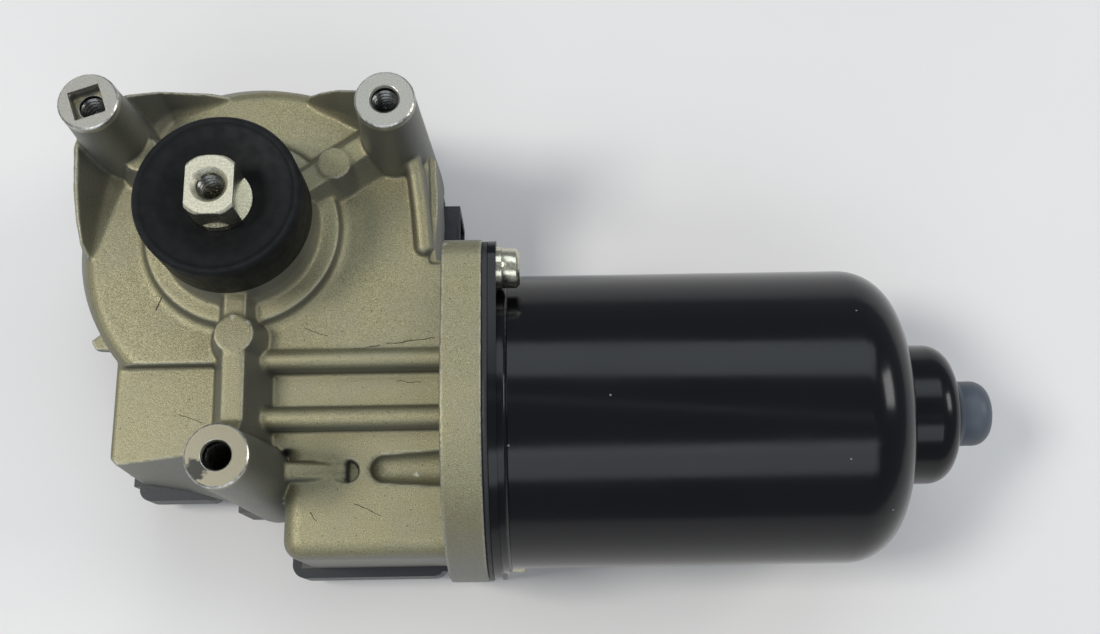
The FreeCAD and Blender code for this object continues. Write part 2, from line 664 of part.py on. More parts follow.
def park_ring():
    """Contact ring on the wheel's underside, with the parking gap."""
    under = WHEEL_MID - WHEEL_FACE / 2
    plate = ring(under - 0.6, under, 16.0, 27.0)
    gap = prism([(0, 20.0), (-4.5, 30.0), (4.5, 30.0)], under - 2, under + 1)
    return plate.cut(gap)


# ---------------------------------------------------------------- armature
def armature_shaft():
    """Rotor shaft with the worm cut on its front end."""
    pitch = math.pi * MODULE
    height = WORM_TURNS * pitch
    helix = Part.makeHelix(pitch, height, WORM_PITCH_R)
    half = math.pi * MODULE / 4 - FLANK_GAP
    tip_half = half - ADDENDUM * math.tan(FLANK_ANGLE)
    sunk = DEDENDUM + 0.3
    root_half = half + sunk * math.tan(FLANK_ANGLE)
    root_r = WORM_PITCH_R - sunk
    tip_r = WORM_PITCH_R + ADDENDUM
    corners = [V(root_r, 0, -root_half), V(tip_r, 0, -tip_half), V(tip_r, 0, tip_half),
               V(root_r, 0, root_half)]
    profile = Part.makePolygon(corners + corners[:1])
    thread = Part.Wire(helix).makePipeShell([profile], True, True)
    core = Part.makeCylinder(WORM_CORE_R, 2 * WORM_HALF, V(0, 0, height / 2 - WORM_HALF))
    worm = core.fuse(thread)
    worm.translate(V(0, 0, -height / 2))
    worm.rotate(V(0, 0, 0), V(1, 1, 1), 120)
    worm.translate(V(0, CAN_AXIS_Y, AXIS_Z))
    journal = rod(-23.4, -WORM_HALF + 0.5, JOURNAL_R)
    shaft = rod(WORM_HALF - 0.5, ROTOR_END_X, ROTOR_SHAFT_R)
    return worm.fuse([journal, shaft]).removeSplitter()


def lamination_stack():
    """Slotted iron core."""
    end = STACK_START_X + STACK_LENGTH
    body = tube(STACK_START_X, end, ROTOR_SHAFT_R, ROTOR_R)
    low = on_motor(STACK_START_X - 1, 0, 0)
    slot = Part.makeBox(STACK_LENGTH + 2, 7.0, 5.0, low + V(0, 13.0, -2.5))
    mouth = Part.makeBox(STACK_LENGTH + 2, 6.0, 2.0, low + V(0, 18.5, -1.0))
    return body.cut(around_motor(slot, SLOTS) + around_motor(mouth, SLOTS))


def armature_winding():
    """Copper coils in the slots and looped round both ends of the core."""
    end = STACK_START_X + STACK_LENGTH
    low = on_motor(STACK_START_X - 3, 0, 0)
    bar = Part.makeBox(STACK_LENGTH + 6, 6.4, 4.4, low + V(0, 13.3, -2.2))
    front = spin_motor([(STACK_START_X - 0.3, 9.0), (STACK_START_X - 0.3, 19.6), (STACK_START_X - 3.0, 20.4),
                        (STACK_START_X - 6.6, 18.4), (STACK_START_X - 7.4, 13.0), (STACK_START_X - 6.0, 9.0)])
    back = spin_motor([(end + 0.3, 9.0), (end + 0.3, 19.6), (end + 3.0, 20.4),
                       (end + 5.6, 18.4), (end + 6.4, 13.0), (end + 5.0, 9.0)])
    groove_front = rod(STACK_START_X - 9, STACK_START_X - 3.2, 1.1, 0, 19.6)
    groove_back = rod(end + 3.2, end + 9, 1.1, 0, 19.6)
    body = front.fuse([back] + around_motor(bar, SLOTS))
    grooves = around_motor(turned_on_motor(groove_front, 15), SLOTS)
    grooves += around_motor(turned_on_motor(groove_back, 15), SLOTS)
    return body.cut(grooves)


def commutator():
    """Segmented copper commutator with its riser hooks."""
    end = COMMUTATOR_X + COMMUTATOR_LENGTH
    body = tube(COMMUTATOR_X, end, ROTOR_SHAFT_R, COMMUTATOR_R)
    riser = tube(end - 2.4, end, COMMUTATOR_R - 1, COMMUTATOR_R + 1.6)
    body = body.fuse(riser)
    low = on_motor(COMMUTATOR_X - 1, 0, 0)
    slit = Part.makeBox(COMMUTATOR_LENGTH + 2, 4.0, 0.5, low + V(0, COMMUTATOR_R - 1.6, -0.25))
    return body.cut(around_motor(slit, SLOTS))


def armature_insulators():
    """Fibre washers at both ends of the core."""
    end = STACK_START_X + STACK_LENGTH
    front = tube(COMMUTATOR_X + COMMUTATOR_LENGTH + 0.2, STACK_START_X - 7.6, ROTOR_SHAFT_R, 8.0)
    back = tube(end + 6.6, end + 8.4, ROTOR_SHAFT_R, 8.0)
    return Part.makeCompound([front, back])


# ---------------------------------------------------------------- motor, fixed pieces
def can_outline(inset, start_x):
    """Solid of the can's outer shape, or of its inner space when inset by the wall."""
    return spin_motor([
        (start_x, 0), (start_x, CAN_R - inset),
        (CAN_END_X - inset, CAN_R - inset, CAN_CORNER_R - inset),
        (CAN_END_X - inset, NOSE_R - inset, FOOT_CORNER_R + inset),
        (NOSE_END_X - inset, NOSE_R - inset, NOSE_CORNER_R - inset),
        (NOSE_END_X - inset, NECK_R - inset, FOOT_CORNER_R),
        (NOSE_END_X + NECK_LENGTH - inset, TIP_R - inset),
        (TIP_END_X - inset, TIP_R - inset, TIP_CORNER_R - inset), (TIP_END_X - inset, 0)])


def motor_can():
    """Deep-drawn steel can with a bearing nose, a closed tip and its flange."""
    bead = spin_motor([(CAN_FLANGE_X, CAN_R - 1), (CAN_FLANGE_X, BEAD_R), (CAN_WALL_X + 1.6, BEAD_R, 0.8),
                       (CAN_WALL_X + 2.0, CAN_R), (CAN_WALL_X + 2.0, CAN_R - 1)])
    flange = ear_shape(CAN_FLANGE_X, CAN_WALL_X, FLANGE_R - 0.3, EAR_LOBE_R - 0.3)
    body = can_outline(0.0, CAN_FLANGE_X).fuse([bead, flange])
    body = body.cut([can_outline(CAN_WALL, CAN_FLANGE_X - 1)])
    body = body.cut(screw_holes(CAN_FLANGE_X - 1, CAN_WALL_X + 1, CAN_SCREW_HOLE_R))
    return body.cut([block((CAN_FLANGE_X - 1, -120, -10), (TIP_END_X, 40, 0.0))]).removeSplitter()


def can_seal():
    """Rubber seal between the casting and the can."""
    plate = ear_shape(SEAL_X, CAN_FLANGE_X, FLANGE_R - 0.6, EAR_LOBE_R - 0.4)
    return plate.cut([rod(SEAL_X - 1, CAN_FLANGE_X + 1, CAN_R - CAN_WALL)]
                     + screw_holes(SEAL_X - 1, CAN_FLANGE_X + 1, CAN_SCREW_HOLE_R))


def can_screws():
    """The two screws that hold the can."""
    seat = CAN_WALL_X + CAN_WASHER_THICK
    top = seat + CAN_HEAD_HEIGHT
    screws = []
    for side in (0, 180):
        angle = EAR_ANGLE + side
        head = rod(seat, top, CAN_HEAD_R, angle, EAR_RADIUS)
        head = head.makeChamfer(0.7, [e for e in head.Edges if e.CenterOfMass.x > top - 0.1])
        shank = rod(FLANGE_X + 0.6, seat + 0.5, CAN_SCREW_R, angle, EAR_RADIUS)
        socket = rod(top - 2.0, top + 1, 1.7, angle, EAR_RADIUS)
        screws.append(head.fuse(shank).cut(socket))
    return Part.makeCompound(screws)


def can_washers():
    """Lock washers under the can screws' heads."""
    end = CAN_WALL_X + CAN_WASHER_THICK
    washers = []
    for side in (0, 180):
        angle = EAR_ANGLE + side
        disc = rod(CAN_WALL_X, end, CAN_WASHER_R, angle, EAR_RADIUS)
        washers.append(disc.cut(rod(CAN_WALL_X - 1, end + 1, CAN_SCREW_HOLE_R, angle, EAR_RADIUS)))
    return Part.makeCompound(washers)


def magnet(side):
    """Ferrite magnet shell."""
    full = tube(STACK_START_X - 3, STACK_START_X + STACK_LENGTH + 1, MAGNET_IN_R, CAN_R - CAN_WALL)
    keep = Part.makeBox(200, 60, 46, V(0, CAN_AXIS_Y, AXIS_Z - 23))
    if side < 0:
        keep.translate(V(0, -60, 0))
    return full.common(keep)


def magnet_clips():
    """Spring clips that wedge the magnets apart."""
    clips = []
    for side in (-1, 1):
        corner = V(STACK_START_X - 1, CAN_AXIS_Y - 15, AXIS_Z + side * 25.2 - 0.5)
        strip = Part.makeBox(STACK_LENGTH, 30, 1.0, corner)
        clips.append(strip.common(tube(0, 200, 0.5, CAN_R - CAN_WALL)))
    return Part.makeCompound(clips)


def bearing_bush(start_x, end_x, inner, outer):
    """Sintered bush on the motor's axis."""
    return tube(start_x, end_x, inner + RUNNING_GAP, outer)


def rear_bush():
    """Barrel-shaped bush in the can's nose."""
    end = REAR_BUSH_X + REAR_BUSH_LENGTH
    bore = ROTOR_SHAFT_R + RUNNING_GAP
    return spin_motor([
        (REAR_BUSH_X, bore), (REAR_BUSH_X, REAR_BUSH_R - 1.4), (REAR_BUSH_X + 1.8, REAR_BUSH_R),
        (end - 1.8, REAR_BUSH_R), (end, REAR_BUSH_R - 1.4), (end, bore)])


def rear_bush_cup():
    """Spring cup that holds the rear bush in the nose."""
    seat = REAR_BUSH_X + 1.3
    inner = REAR_BUSH_R + 0.05
    outer = NOSE_R - CAN_WALL
    return spin_motor([(seat, inner), (seat, outer), (seat + 1.0, outer), (seat + 1.5, inner + 1.55),
                       (seat + 2.7, inner)])


def thrust_ball(x, radius):
    return Part.makeSphere(radius, on_motor(x, 0, 0))


def brush_plate():
    """Moulded plate that carries the brush gear."""
    body = tube(CAN_WALL_X - 0.4, CAN_WALL_X + 2.2, 13.0, CAN_R - CAN_WALL - 0.2)
    spigot = tube(SEAL_X - 4.0, CAN_WALL_X, 24.6, 27.4)
    holes = [rod(SEAL_X - 6, CAN_WALL_X + 4, 2.0, a, 19.0) for a in (60, 120, 240)]
    return body.fuse(spigot).cut(holes).removeSplitter()


def brush_bar(near, far, grow):
    """Radial bar at the +Y side, of a brush's section grown on every side."""
    low = on_motor(BRUSH_LOW_X - grow, 0, 0) + V(0, near, -BRUSH_WIDTH / 2 - grow)
    return Part.makeBox(BRUSH_LENGTH_X + 2 * grow, far - near, BRUSH_WIDTH + 2 * grow, low)


def carbon_brushes():
    """Carbon brushes, curved to the commutator with a running gap."""
    brush = brush_bar(9.5, 19.0, 0.0).cut(rod(0, 200, COMMUTATOR_R + 0.06))
    return Part.makeCompound([turned_on_motor(brush, a) for a in BRUSH_ANGLES])


def brush_guides():
    """Brass boxes that the brushes slide in."""
    box = brush_bar(12.2, 26.0, 0.7).cut(brush_bar(10.0, 25.2, 0.12))
    foot_low = on_motor(CAN_WALL_X + 2.2, 0, 0) + V(0, 15.0, -2.0)
    foot = Part.makeBox(BRUSH_LOW_X - 0.7 - CAN_WALL_X - 2.2 + 0.1, 8.0, 4.0, foot_low)
    whole = box.fuse(foot)
    return Part.makeCompound([turned_on_motor(whole, a) for a in BRUSH_ANGLES])


def brush_springs():
    """Coil springs behind the brushes."""
    springs = []
    for angle in BRUSH_ANGLES:
        helix = Part.makeHelix(1.5, 4.5, 1.7)
        section = Part.Wire(Part.makeCircle(0.28, V(1.7, 0, 0), V(0, 1, 0)))
        coil = Part.Wire(helix).makePipeShell([section], True, True)
        coil.rotate(V(0, 0, 0), V(1, 0, 0), -90)
        centre = on_motor(BRUSH_LOW_X + BRUSH_LENGTH_X / 2, 0, 0) + V(0, 19.7, 0)
        coil.translate(centre)
        springs.append(turned_on_motor(coil, angle))
    return Part.makeCompound(springs)


def choke_coils():
    """Two suppression chokes on the brush plate."""
    chokes = []
    for angle in (45, 135):
        core = rod(CAN_WALL_X + 2.2, CAN_WALL_X + 15.0, 1.6, angle, 21.5)
        coil = rod(CAN_WALL_X + 3.2, CAN_WALL_X + 13.4, 3.0, angle, 21.5)
        chokes.append(core.fuse(coil))
    return Part.makeCompound(chokes)


def suppression_capacitor():
    """Round capacitor on the brush plate."""
    body = rod(CAN_WALL_X + 2.2, CAN_WALL_X + 8.0, 4.2, 90, 22.0)
    return body.makeChamfer(0.6, [e for e in body.Edges if e.CenterOfMass.x > CAN_WALL_X + 7.9])


def thermal_breaker():
    """Bimetal breaker in its case."""
    low = on_motor(CAN_WALL_X + 2.2, 0, 0) + V(0, 17.0, -4.0)
    case = Part.makeBox(9.0, 6.4, 8.0, low)
    return turned_on_motor(case, 232)


# ---------------------------------------------------------------- rear cover and switch
def cover_outline(grow):
    """Solid over the casting's rim outline, for the cover and its gasket."""
    parts = [post(0, 0, 0, RIM_HEIGHT, CASE_R + grow)]
    parts.append(block((BLOCK_LEFT_X - grow, BLOCK_SOUTH_Y - grow, 0), (4.0, -20.0, RIM_HEIGHT)))
    parts.append(block((BOX_LEFT_X - grow, BOX_SOUTH_Y - grow, 0), (FLANGE_X - 0.6, -20.0, RIM_HEIGHT)))
    parts.append(block((-5.0, -56.0, 0), (20.0, -20.0, RIM_HEIGHT)))
    parts.append(prism([(10, -30), (FLANGE_X - 0.6, -30), (FLANGE_X - 0.6, BOX_NORTH_Y),
                        (38.2, -2.6), (37.8, 12.0), (20, 24)], 0, RIM_HEIGHT))
    for x, y in cover_screw_places():
        parts.append(post(x, y, 0, RIM_HEIGHT, 4.0 + grow * 0.4))
    return parts[0].fuse(parts[1:]).removeSplitter()


def rear_cover():
    """Moulded cover that closes the casting and stands on the rest plane."""
    seat = RIM_HEIGHT - GASKET_THICK
    outer = cover_outline(0.0)
    lip = cover_outline(COVER_LIP * 0.5)
    lip = lip.common(block((-90, -90, seat - 3.4), (90, 90, seat)))
    south = rounded(block((-27.6, -53.0, 7.0), (-9.6, BLOCK_SOUTH_Y + 4, seat)), 2.6,
                    lambda at: abs(at.y + 53.0) < 0.1 and abs(at.z - z_at((7.0 + seat) / 2)) < 0.1)
    east = rounded(block((7.4, -70.6, 5.0), (41.4, BOX_SOUTH_Y + 6, seat)), 3.0,
                   lambda at: abs(at.y + 70.6) < 0.1 and abs(at.z - z_at((5.0 + seat) / 2)) < 0.1)
    body = outer.common(block((-90, -90, 0), (90, 90, seat))).fuse([lip, south, east])
    hollow = post(0, 0, COVER_WALL, RIM_HEIGHT + 1, CAVITY_R - 0.6)
    left = block((BLOCK_LEFT_X + 3.0, BLOCK_SOUTH_Y + 7.5, COVER_WALL), (-8.0, -30.0, RIM_HEIGHT + 1))
    right = block((20.0, BOX_SOUTH_Y + 8.4, COVER_WALL), (FLANGE_X - 3.0, -30.0, RIM_HEIGHT + 1))
    body = body.cut([hollow, left, right])
    for x, y in cover_screw_places():
        body = body.fuse([post(x, y, 0, seat, 3.4)])
        body = body.cut([post(x, y, -1, seat + 1, 1.9), post(x, y, -1, 3.6, 3.0)])
    pillars = [post(x, y, 0.5, 12.0, 2.4) for x, y in ((-24, 14), (24, 14), (-24, -14), (24, -14))]
    return body.fuse(pillars).cut([socket_room(0.6, 1.0)]).removeSplitter()


def cover_gasket():
    """Flat gasket between the cover and the casting."""
    low = RIM_HEIGHT - GASKET_THICK
    band = cover_outline(0.0).common(block((-90, -90, low), (90, 90, RIM_HEIGHT)))
    inner = post(0, 0, 0, 40, CAVITY_R)
    left = block((BLOCK_LEFT_X + 2.4, -46.2, 0), (-6.0, -30.0, 40))
    right = block((13.0, BOX_SOUTH_Y + 2.4, 0), (FLANGE_X - 3.0, -30.0, 40))
    band = band.cut([inner, left, right, socket_room(1.0, 1.2)])
    return band.cut([post(x, y, 0, 40, 1.9) for x, y in cover_screw_places()])


def cover_screws():
    """Screws that hold the rear cover."""
    screws = []
    for x, y in cover_screw_places():
        head = post(x, y, 1.0, 3.6, 2.8)
        recess = post(x, y, 0.0, 2.2, 1.3)
        shank = post(x, y, 3.0, RIM_HEIGHT + 8.0, 1.7)
        screws.append(head.fuse(shank).cut(recess))
    return Part.makeCompound(screws)


def contact_carrier():
    """Switch plate above the cover's floor."""
    plate = prism([(-28, -17), (28, -17), (28, 17), (-28, 17)], 12.0, 13.6)
    return plate.cut([post(0, 0, 0, 40, 9.0)])


def contact_fingers():
    """Three sprung fingers that wipe the parking ring."""
    under = WHEEL_MID - WHEEL_FACE / 2 - 0.6
    fingers = []
    for radius in (17.8, 21.4, 25.0):
        top = under - 0.4
        path = [(-14, 13.6), (-4, 13.6), (-4, 14.1), (-13, 14.1), (1.4, top - 1.9), (2.6, top - 0.7),
                (3.4, top - 1.3), (3.6, top - 0.8), (2.6, top), (1.2, top - 1.2), (-14, 14.6)]
        strip = side_prism(path, -1.1, 1.1)
        strip.translate(V(0, -radius, 0))
        fingers.append(strip)
    return Part.makeCompound(fingers)


def connector_shroud():
    """Open-ended plug socket beside the flange."""
    body = block(SOCKET_LOW, SOCKET_HIGH)
    middle = (SOCKET_LOW[0] + SOCKET_HIGH[0]) / 2
    body = rounded(body, 1.2, lambda at: abs(at.x - middle) < 0.5)
    inner_low = (SOCKET_LOW[0] + 1.2, SOCKET_LOW[1] + SOCKET_WALL, SOCKET_LOW[2] + SOCKET_WALL)
    inner_high = (SOCKET_HIGH[0] + 5, SOCKET_HIGH[1] - SOCKET_WALL, SOCKET_HIGH[2] - SOCKET_WALL)
    latch = block((SOCKET_HIGH[0] - 4.0, 4.5, SOCKET_HIGH[2] - 0.5),
                  (SOCKET_HIGH[0] - 0.6, 9.0, SOCKET_HIGH[2] + 1.0))
    neck = block((SOCKET_WALL_X, 0.6, 3.0), (SOCKET_LOW[0] + 0.5, 11.6, 13.0))
    body = body.cut([block(inner_low, inner_high)]).fuse([latch, neck])
    return body.cut([connector_pins()]).removeSplitter()


def connector_pins():
    """Blade terminals in the socket."""
    blades = []
    for y, height in PIN_PLACES:
        low = (SOCKET_LOW[0] + 0.2, y - PIN_WIDTH / 2, height)
        blades.append(block(low, (SOCKET_HIGH[0] - 2.2, y + PIN_WIDTH / 2, height + PIN_THICK)))
    return Part.makeCompound(blades)


NODES = {
    "gear_housing": gear_housing(),
    "output_bush_upper": output_bush(49.6, BOSS_TOP),
    "output_bush_lower": output_bush(CAVITY_CORE_TOP, 47.2),
    "shaft_seal": shaft_seal(),
    "output_shaft": output_shaft(),
    "splash_cap": splash_cap(),
    "shaft_circlip": shaft_circlip(),
    "thrust_shims": thrust_shims(),
    "worm_wheel": worm_wheel(),
    "wheel_hub": wheel_hub(),
    "park_ring": park_ring(),
    "armature_shaft": armature_shaft(),
    "lamination_stack": lamination_stack(),
    "armature_winding": armature_winding(),
    "commutator": commutator(),
    "armature_insulators": armature_insulators(),
    "worm_end_bush": bearing_bush(-23.0, -15.4, JOURNAL_R, JOURNAL_R + 2.2),
    "worm_end_ball": thrust_ball(-24.9, 1.45),
    "front_bush": bearing_bush(30.0, 38.6, ROTOR_SHAFT_R, BUSH_R),
    "rear_bush": rear_bush(),
    "rear_bush_cup": rear_bush_cup(),
    "rear_thrust_ball": thrust_ball(ROTOR_END_X + REAR_BALL_R + 0.1, REAR_BALL_R),
    "motor_can": motor_can(),
    "can_seal": can_seal(),
    "can_screws": can_screws(),
    "can_washers": can_washers(),
    "magnet_north": magnet(1),
    "magnet_south": magnet(-1),
    "magnet_clips": magnet_clips(),
    "brush_plate": brush_plate(),
    "brush_guides": brush_guides(),
    "carbon_brushes": carbon_brushes(),
    "brush_springs": brush_springs(),
    "choke_coils": choke_coils(),
    "suppression_capacitor": suppression_capacitor(),
    "thermal_breaker": thermal_breaker(),
    "rear_cover": rear_cover(),
    "cover_gasket": cover_gasket(),
    "cover_screws": cover_screws(),
    "contact_carrier": contact_carrier(),
    "contact_fingers": contact_fingers(),
    "connector_shroud": connector_shroud(),
    "connector_pins": connector_pins(),
}

os.makedirs("parts", exist_ok=True)
for name, shape in NODES.items():
    shape.exportStep("parts/" + name + ".step")
    solids = len(shape.Solids)
    print(name, "solids", solids, "volume", round(shape.Volume, 1), "valid", shape.isValid())
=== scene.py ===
"""Wiper motor: materials, fine detail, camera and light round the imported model."""
import json
import math

import bmesh
import bpy
from mathutils import Matrix, Vector


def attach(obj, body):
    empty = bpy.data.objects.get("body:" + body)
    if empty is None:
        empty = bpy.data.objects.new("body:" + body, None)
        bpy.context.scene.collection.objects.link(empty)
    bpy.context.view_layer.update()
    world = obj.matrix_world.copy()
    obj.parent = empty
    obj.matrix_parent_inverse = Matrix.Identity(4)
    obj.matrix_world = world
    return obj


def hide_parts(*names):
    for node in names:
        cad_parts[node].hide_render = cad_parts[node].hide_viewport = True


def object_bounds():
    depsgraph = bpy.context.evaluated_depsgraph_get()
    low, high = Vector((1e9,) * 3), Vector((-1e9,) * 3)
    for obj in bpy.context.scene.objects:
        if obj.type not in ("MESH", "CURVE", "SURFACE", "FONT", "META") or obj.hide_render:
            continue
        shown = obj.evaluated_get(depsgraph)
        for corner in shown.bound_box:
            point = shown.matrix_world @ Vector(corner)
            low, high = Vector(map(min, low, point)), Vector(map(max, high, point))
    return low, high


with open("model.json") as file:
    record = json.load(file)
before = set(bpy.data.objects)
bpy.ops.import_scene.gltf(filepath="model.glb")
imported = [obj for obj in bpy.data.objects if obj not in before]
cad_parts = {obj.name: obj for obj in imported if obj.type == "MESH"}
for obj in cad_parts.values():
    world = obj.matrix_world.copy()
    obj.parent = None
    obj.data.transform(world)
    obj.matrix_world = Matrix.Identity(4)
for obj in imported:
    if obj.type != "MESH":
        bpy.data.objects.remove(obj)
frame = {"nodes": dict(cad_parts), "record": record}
cad_box = [list(corner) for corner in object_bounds()]
mounts = {mount["name"]: mount for mount in frame["record"]["mounts"]}

MM = 0.001
REST = mounts["rest_face"]["pos_m"][2]  # the plane the motor lies on
SHAFT_XY = mounts["shaft_thread"]["pos_m"][:2]
SHAFT_TOP = cad_box[1][2] / MM
TIP_END = cad_box[1][0] / MM
# Hairs and scratches on the deck: start x, start y, end x, end y and half width, in millimetres.
DECK_MARKS = [
    (31.5, -24.3, 41.5, -23.2, 0.05), (24.0, -25.4, 30.0, -24.6, 0.04), (-17.2, -16.0, -16.0, -13.6, 0.10),
    (33.0, -31.4, 38.5, -31.8, 0.03), (14.0, -20.6, 19.0, -22.4, 0.03), (-12.0, -38.0, -7.0, -39.6, 0.03),
    (25.0, -57.0, 30.5, -59.6, 0.04), (16.0, -58.5, 17.4, -60.4, 0.05)]
POSTS = [mounts[name]["pos_m"][:2] for name in ("post_left", "post_right", "post_lower")]
# Sizes of the posts' faced ends and of the sleeves in their bores, in millimetres.
POST_R = 6.16
POST_MOUTHS = (3.0, 3.05, 2.95)
BORE_R = mounts["post_left"]["dims"]["r_mm"] - 0.04
BORE_DEPTH = 14.5
SLEEVE_R = 2.95
CAP_DEPTH = 1.7
RING_SIDES = 72
# Square recess in the left post: side, angle, offset from the post's middle, lowest and highest point.
KEY_SIDE = 6.4
KEY_TURN = 19
KEY_OFFSET = (-0.2, -0.1)
KEY_SPAN = (-3.0, 4.0)
# Thread turns: crest radius and height of the highest turn for each hole, and where the turns end.
THREAD_PITCH = 1.25  # wider than the 1 mm of a real M6 thread, so that the turns can be told apart
THREAD_ROOT_R = BORE_R + 0.10
THREAD_FOOT = 0.44 * THREAD_PITCH
THREAD_CREST = 0.13 * THREAD_PITCH
POST_TURNS = ((2.24, -3.8), (2.24, -1.2), (2.40, -2.2))
POST_TURNS_END = -13.5
SHAFT_TURNS = (2.26, 3.9)
SHAFT_TURNS_END = -6.0
TURN_STEPS = 48
# Painted shade: the BORE and FLANK materials are a near-black metal.
FACE, RIM, BORE = 0, 1, 2  # materials of the faced ends
# Painted highlight: the CREST material is a brighter, glossier metal than the casting.
CREST, FLANK = 0, 1  # materials of the thread turns
SHARP_ANGLE = math.radians(18)
ROUND_ANGLE = math.radians(35)
WELD_GAP = 1e-6
NOISE_ROUGHNESS = 0.55

# Node to the width of the rounds on its edges, in millimetres.
EDGE_ROUNDS = {"output_shaft": 0.12, "can_screws": 0.12, "rear_cover": 0.25, "can_seal": 0.2,
               "connector_shroud": 0.2, "splash_cap": 0.12}
FLOOR_HALF = 3.0
VOXEL = 0.42
HOUSING_TOP = -0.6  # millimetres; the posts' faced ends stand above it

CAMERA_PLACE = (63.784 * MM, -89.771 * MM, 228.284 * MM)
CAMERA_TURN = (15.604, -0.039, -0.977)
CAMERA_LENS = 40.682
AIM = (0.03, -0.02, -0.03)
WORLD_COLOUR = (0.82, 0.90, 1.0)
WORLD_STRENGTH = 0.29
# Name, place, size, power and colour of each lamp.
LAMPS = [
    ("west", (-0.70, -0.09, 1.10), (0.34, 0.34), 8.0, (1.0, 0.985, 0.95)),
    ("east", (1.08, 0.16, 0.78), (0.5, 0.42), 3.8, (1.0, 0.985, 0.97)),
    ("north", (0.20, 0.80, 1.15), (1.2, 0.7), 4.6, (0.84, 0.92, 1.0)),
    ("south", (0.10, -0.95, 0.95), (1.2, 0.6), 3.6, (0.88, 0.94, 1.0)),
    ("strip_high", (0.10, 0.05, 1.50), (1.8, 0.04), 0.22, (0.85, 0.92, 1.0)),
    ("strip_south", (0.10, -0.90, 1.20), (1.8, 0.04), 0.25, (0.85, 0.92, 1.0))]

scene = bpy.context.scene
scene.view_settings.view_transform = "Standard"
nodes = frame["nodes"]


# ---------------------------------------------------------------- camera, floor and light
def add_camera():
    data = bpy.data.cameras.new("camera")
    data.sensor_width = 36
    data.lens = CAMERA_LENS
    data.clip_start = 0.01
    data.clip_end = 20
    camera = bpy.data.objects.new("camera", data)
    camera.location = CAMERA_PLACE
    camera.rotation_euler = [math.radians(angle) for angle in CAMERA_TURN]
    scene.collection.objects.link(camera)
    scene.camera = camera


def add_area(name, place, size, power, colour):
    data = bpy.data.lights.new(name, "AREA")
    data.shape = "RECTANGLE"
    data.size, data.size_y = size
    data.energy = power
    data.color = colour
    lamp = bpy.data.objects.new(name, data)
    lamp.location = place
    lamp.rotation_euler = (Vector(AIM) - Vector(place)).to_track_quat("-Z", "Y").to_euler()
    scene.collection.objects.link(lamp)


def add_world():
    world = bpy.data.worlds.new("room")
    scene.world = world
    world.use_nodes = True
    back = world.node_tree.nodes["Background"]
    back.inputs["Color"].default_value = (*WORLD_COLOUR, 1)
    back.inputs["Strength"].default_value = WORLD_STRENGTH


# ---------------------------------------------------------------- materials
class Finish:
    """A material and a short way to wire its nodes."""

    def __init__(self, name):
        self.material = bpy.data.materials.new(name)
        self.material.use_nodes = True
        self.tree = self.material.node_tree
        self.shader = self.tree.nodes["Principled BSDF"]

    def node(self, kind, values=(), **settings):
        made = self.tree.nodes.new("ShaderNode" + kind)
        for key, value in settings.items():
            setattr(made, key, value)
        for key, value in dict(values).items():
            self.set(made.inputs[key], value)
        return made

    def set(self, socket, value):
        if isinstance(value, bpy.types.NodeSocket):
            self.tree.links.new(value, socket)
        else:
            socket.default_value = value

    def place(self):
        """Coordinates in millimetres."""
        where = self.node("TexCoord").outputs["Object"]
        return self.node("Mapping", {"Vector": where, "Scale": (1000, 1000, 1000)}).outputs[0]

    def noise(self, size, detail=3.0, place=None):
        """Noise from 0 to 1 with features of that size in millimetres."""
        values = {"Vector": place or self.place(), "Scale": 1 / size, "Detail": detail,
                  "Roughness": NOISE_ROUGHNESS}
        return self.node("TexNoise", values).outputs["Fac"]

    def math(self, what, *values):
        made = self.node("Math", operation=what)
        for socket, value in zip(made.inputs, values):
            self.set(socket, value)
        return made.outputs[0]

    def fit(self, value, low, high, to_low=0.0, to_high=1.0, smooth=False):
        """value from low to high becomes to_low to to_high."""
        values = {"Value": value, "From Min": low, "From Max": high, "To Min": to_low, "To Max": to_high}
        kind = "SMOOTHSTEP" if smooth else "LINEAR"
        return self.node("MapRange", values, interpolation_type=kind).outputs[0]

    def mix(self, share, a, b):
        made = self.node("Mix", data_type="RGBA")
        self.set(made.inputs[0], share)
        for socket, value in ((made.inputs[6], a), (made.inputs[7], b)):
            self.set(socket, value if isinstance(value, bpy.types.NodeSocket) else (*value, 1))
        return made.outputs[2]

    def bump(self, height, distance):
        """distance is in millimetres for a height of 1."""
        return self.node("Bump", {"Height": height, "Distance": distance * MM}).outputs[0]

    def finish(self, **values):
        names = {"colour": "Base Color", "metal": "Metallic", "rough": "Roughness", "normal": "Normal",
                 "specular": "Specular IOR Level"}
        for key, value in values.items():
            if key == "colour" and not isinstance(value, bpy.types.NodeSocket):
                value = (*value, 1)
            self.set(self.shader.inputs[names[key]], value)
        return self.material


def scratches(f, marks, place):
    """1 on thin straight marks, each given as start x, y, end x, y and half width in millimetres."""
    total = None
    flat = f.node("VectorMath", {0: place, 1: (1, 1, 0)}, operation="MULTIPLY").outputs[0]
    for start_x, start_y, end_x, end_y, width in marks:
        way = Vector((end_x - start_x, end_y - start_y, 0))
        start = (start_x, start_y, 0)
        offset = f.node("VectorMath", {0: flat, 1: start}, operation="SUBTRACT").outputs[0]
        unit = way / way.length_squared
        share = f.node("VectorMath", {0: offset, 1: unit}, operation="DOT_PRODUCT").outputs[1]
        share = f.fit(share, 0, 1)
        on_line = f.node("VectorMath", {0: tuple(way), 3: share}, operation="SCALE").outputs[0]
        gap = f.node("VectorMath", {0: offset, 1: on_line}, operation="DISTANCE").outputs[1]
        mark = f.fit(gap, width * 0.9, width * 2.0, 1, 0)
        total = f.math("MAXIMUM", total, mark) if total else mark
    return total


